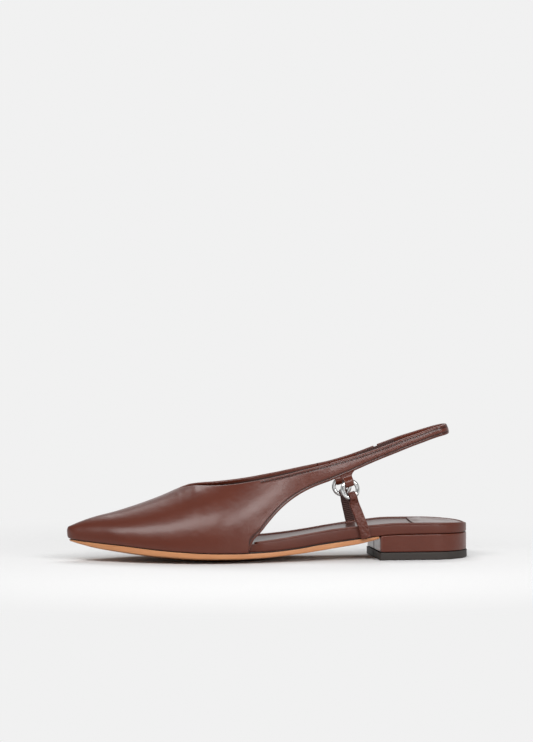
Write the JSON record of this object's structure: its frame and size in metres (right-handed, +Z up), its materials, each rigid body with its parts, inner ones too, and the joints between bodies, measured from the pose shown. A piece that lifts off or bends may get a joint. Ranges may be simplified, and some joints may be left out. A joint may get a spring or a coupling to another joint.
{
  "type": "sling back flat",
  "caption": "Pointed sling back flat with a V throat, cut-away sides, a heel strap held by ring straps, and a low block heel.",
  "frame": {"origin": "on the floor under the middle of the heel's top lift", "axes": "toe towards -X, outer (lateral) side towards -Y, inner (medial) side towards +Y, +Z up"},
  "size_m": [0.2713, 0.0777, 0.0904],
  "materials": {
    "leather": "smooth calf leather, reddish brown, soft gloss",
    "sole_leather": "natural tan sole leather, satin",
    "top_lift": "dark brown, matt",
    "elastic": "ribbed elastic webbing",
    "steel": "polished steel"
  },
  "bodies": {
    "shoe": {"upper": "leather", "side_strap_outer": "leather", "side_strap_inner": "leather", "ring_tab_outer": "leather", "ring_tab_inner": "leather", "footbed": "leather", "heel_pad": "leather", "heel_block": "leather", "outsole": "sole_leather", "top_lift": "top_lift", "elastic_gore": "elastic"},
    "ring_outer": {"ring_outer": "steel"},
    "ring_inner": {"ring_inner": "steel"}
  },
  "joints": [
    {"name": "ring_outer_turn", "type": "hinge", "parent": "shoe", "child": "ring_outer", "pos_m": [-0.0519, -0.0232, 0.0477], "axis": [0.1965, -0.9789, 0.0564], "continuous": true},
    {"name": "ring_inner_turn", "type": "hinge", "parent": "shoe", "child": "ring_inner", "pos_m": [-0.0499, 0.0222, 0.0464], "axis": [-0.2114, -0.9755, -0.0606], "continuous": true}
  ]
}
